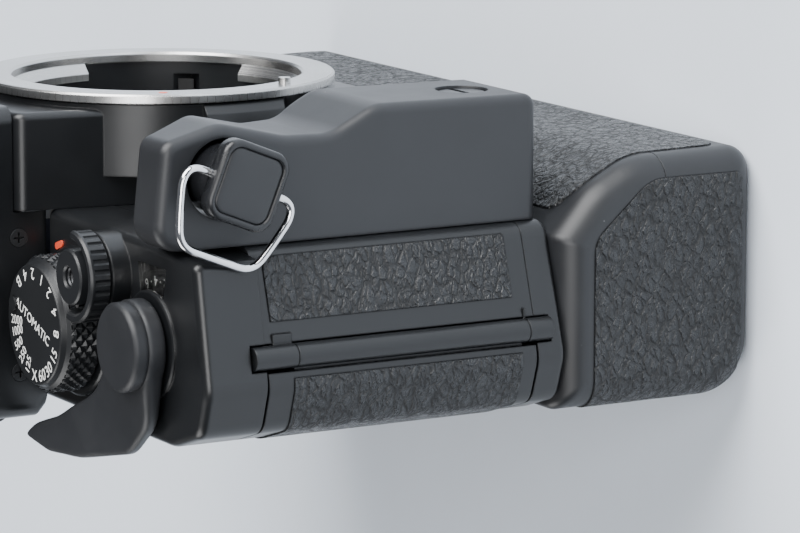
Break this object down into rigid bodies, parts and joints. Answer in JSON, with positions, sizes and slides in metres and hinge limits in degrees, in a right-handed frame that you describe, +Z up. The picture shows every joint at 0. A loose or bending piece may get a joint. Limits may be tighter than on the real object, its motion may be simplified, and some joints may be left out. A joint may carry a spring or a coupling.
{
  "type": "single-lens-reflex camera body with motor winder",
  "caption": "Camera body for interchangeable lenses with prism finder, hand grip, wind lever, hinged film door and a motor winder under its base.",
  "frame": {"origin": "mouth of the tripod socket, in the middle of the winder's base", "axes": "+Z up from the base to the top plate, -Y where the lens looks, -X towards the hand grip and wind lever"},
  "size_m": [0.1495, 0.0586, 0.1309],
  "materials": {
    "black_plastic": "satin",
    "black_enamel": "satin",
    "leather": "pebbled",
    "steel": "brushed",
    "chrome_wire": "polished",
    "brass": "machined",
    "dark_plastic": "gloss",
    "glass": "polished",
    "mirror": "polished",
    "titanium": "matte",
    "red_paint": "gloss"
  },
  "bodies": {
    "camera": {"winder_lower_case": "black_plastic", "winder_upper_case": "black_plastic", "hand_grip": "black_plastic", "eyepiece_ring": "black_plastic", "body_shell": "black_enamel", "bottom_cover": "black_enamel", "top_cover": "black_enamel", "front_apron": "black_enamel", "finder_housing": "black_enamel", "hinge_brackets": "black_enamel", "chassis": "black_enamel", "winder_leather_near": "leather", "winder_leather_far": "leather", "body_leather_near": "leather", "body_leather_far": "leather", "mount_ring": "steel", "cover_screws": "steel", "grip_screw": "steel", "hinge_pin": "steel", "aperture_lever": "steel", "accessory_shoe": "steel", "sync_terminal": "steel", "winder_motor": "steel", "strap_stays": "steel", "winder_cells": "steel", "tripod_bush": "brass", "finder_optics": "glass", "focusing_screen": "glass", "counter_window": "glass", "shutter_curtain": "titanium", "index_marks": "red_paint"},
    "film_door": {"film_door": "black_enamel", "door_leather": "leather"},
    "pressure_plate": {"pressure_plate": "black_plastic"},
    "wind_lever": {"wind_lever": "black_plastic", "wind_lever_cap": "black_plastic"},
    "counter_disc": {"counter_disc": "dark_plastic"},
    "winder_coupling": {"winder_coupling": "brass"},
    "drive_worm": {"drive_worm": "brass"},
    "take_up_spool": {"take_up_spool": "dark_plastic"},
    "film_sprocket": {"film_sprocket": "dark_plastic"},
    "attaching_wheel": {"attaching_wheel": "steel"},
    "battery_cover": {"battery_cover": "black_plastic"},
    "winder_switch": {"winder_switch": "black_plastic"},
    "preview_knob": {"preview_knob": "black_plastic"},
    "lens_lock_pin": {"lens_lock_pin": "steel"},
    "mirror": {"mirror_frame": "black_enamel", "reflex_mirror": "mirror"},
    "shutter_dial": {"shutter_dial": "black_enamel"},
    "dial_lock_button": {"dial_lock_button": "black_enamel"},
    "release_button": {"release_button": "black_enamel"},
    "lock_collar": {"lock_collar": "black_enamel"},
    "compensation_dial": {"compensation_dial": "black_enamel"},
    "rewind_knob": {"rewind_knob": "black_enamel"},
    "rewind_crank": {"rewind_crank": "steel"},
    "crank_handle": {"crank_handle": "steel"},
    "strap_cap_near": {"strap_cap_near": "black_plastic"},
    "strap_cap_far": {"strap_cap_far": "black_plastic"},
    "strap_ring_near": {"strap_ring_near": "chrome_wire"},
    "strap_ring_far": {"strap_ring_far": "chrome_wire"}
  },
  "joints": [
    {"name": "film_door_hinge", "type": "hinge", "parent": "camera", "child": "film_door", "pos_m": [-0.073, 0.0057, 0.066], "axis": [0, 0, 1], "range_deg": [0, 100]},
    {"name": "pressure_plate_spring", "type": "slide", "parent": "film_door", "child": "pressure_plate", "axis": [0, 1, 0], "range_m": [0, 0.0005], "stiffness_N_per_m": 300},
    {"name": "wind_lever_hinge", "type": "hinge", "parent": "camera", "child": "wind_lever", "pos_m": [-0.0556, 0.0054, 0.104], "axis": [0, 0, 1], "range_deg": [0, 139], "stiffness_Nm_per_rad": 0.01},
    {"name": "counter_disc_turn", "type": "hinge", "parent": "camera", "child": "counter_disc", "pos_m": [-0.0556, 0.0054, 0.0995], "axis": [0, 0, 1], "range_deg": [0, 330]},
    {"name": "winder_drive", "type": "hinge", "parent": "camera", "child": "winder_coupling", "pos_m": [-0.0556, 0.0054, 0.03], "axis": [0, 0, 1], "continuous": true},
    {"name": "worm_spin", "type": "hinge", "parent": "camera", "child": "drive_worm", "pos_m": [-0.055, -0.0064, 0.0261], "axis": [1, 0, 0], "continuous": true},
    {"name": "spool_spin", "type": "hinge", "parent": "camera", "child": "take_up_spool", "pos_m": [-0.0556, 0.0054, 0.066], "axis": [0, 0, 1], "continuous": true},
    {"name": "sprocket_spin", "type": "hinge", "parent": "camera", "child": "film_sprocket", "pos_m": [-0.033, 0.0082, 0.066], "axis": [0, 0, 1], "continuous": true},
    {"name": "attaching_wheel_turn", "type": "hinge", "parent": "camera", "child": "attaching_wheel", "pos_m": [0, -0.007, 0.029], "axis": [0, 0, 1], "continuous": true},
    {"name": "battery_cover_hinge", "type": "hinge", "parent": "camera", "child": "battery_cover", "pos_m": [0.0262, 0, 0.00095], "axis": [0, 1, 0], "range_deg": [0, 100]},
    {"name": "winder_switch_slide", "type": "slide", "parent": "camera", "child": "winder_switch", "axis": [1, 0, 0], "range_m": [-0.0024, 0.0024]},
    {"name": "preview_knob_press", "type": "slide", "parent": "camera", "child": "preview_knob", "axis": [0, 1, 0], "range_m": [0, 0.002], "stiffness_N_per_m": 300},
    {"name": "lens_lock_press", "type": "slide", "parent": "camera", "child": "lens_lock_pin", "axis": [0, 1, 0], "range_m": [0, 0.001], "stiffness_N_per_m": 200},
    {"name": "mirror_swing", "type": "hinge", "parent": "camera", "child": "mirror", "pos_m": [0, 0.0112, 0.0872], "axis": [1, 0, 0], "range_deg": [-44, 0], "stiffness_Nm_per_rad": 0.004},
    {"name": "shutter_dial_turn", "type": "hinge", "parent": "camera", "child": "shutter_dial", "pos_m": [-0.0292, 0.006, 0.106], "axis": [0, 0, 1], "range_deg": [-165, 165]},
    {"name": "dial_lock_press", "type": "slide", "parent": "shutter_dial", "child": "dial_lock_button", "axis": [0, 0, -1], "range_m": [0, 0.0008], "stiffness_N_per_m": 200},
    {"name": "release_press", "type": "slide", "parent": "camera", "child": "release_button", "axis": [0, 0, -1], "range_m": [0, 0.0012], "stiffness_N_per_m": 500},
    {"name": "lock_collar_turn", "type": "hinge", "parent": "camera", "child": "lock_collar", "pos_m": [-0.0422, -0.0038, 0.107], "axis": [0, 0, 1], "range_deg": [0, 40]},
    {"name": "compensation_turn", "type": "hinge", "parent": "camera", "child": "compensation_dial", "pos_m": [0.053, 0.005, 0.105], "axis": [0, 0, 1], "range_deg": [-60, 60]},
    {"name": "rewind_turn", "type": "hinge", "parent": "camera", "child": "rewind_knob", "pos_m": [0.053, 0.005, 0.108], "axis": [0, 0, 1], "continuous": true},
    {"name": "crank_fold", "type": "hinge", "parent": "rewind_knob", "child": "rewind_crank", "pos_m": [0.0582, 0.005, 0.1111], "axis": [0, 1, 0], "range_deg": [0, 165]},
    {"name": "crank_handle_spin", "type": "hinge", "parent": "rewind_crank", "child": "crank_handle", "pos_m": [0.047, 0.005, 0.112], "axis": [0, 0, 1], "continuous": true},
    {"name": "strap_swivel_near", "type": "hinge", "parent": "camera", "child": "strap_cap_near", "pos_m": [-0.07, -0.0216, 0.0947], "axis": [1, 0, 0], "range_deg": [-90, 90]},
    {"name": "strap_swivel_far", "type": "hinge", "parent": "camera", "child": "strap_cap_far", "pos_m": [0.07, -0.0216, 0.0947], "axis": [1, 0, 0], "range_deg": [-90, 90]},
    {"name": "strap_ring_swing_near", "type": "hinge", "parent": "strap_cap_near", "child": "strap_ring_near", "pos_m": [-0.072, -0.0216, 0.0947], "axis": [0, -0.3746, 0.9272], "range_deg": [0, 90]},
    {"name": "strap_ring_swing_far", "type": "hinge", "parent": "strap_cap_far", "child": "strap_ring_far", "pos_m": [0.072, -0.0216, 0.0947], "axis": [0, -0.3746, 0.9272], "range_deg": [-90, 0]}
  ],
  "couplings": [
    {"joint": "counter_disc_turn", "follows": "wind_lever_hinge", "ratio": 0.0648},
    {"joint": "winder_drive", "follows": "worm_spin", "ratio": -0.0333},
    {"joint": "spool_spin", "follows": "worm_spin", "ratio": -0.0333},
    {"joint": "sprocket_spin", "follows": "worm_spin", "ratio": -0.05}
  ]
}
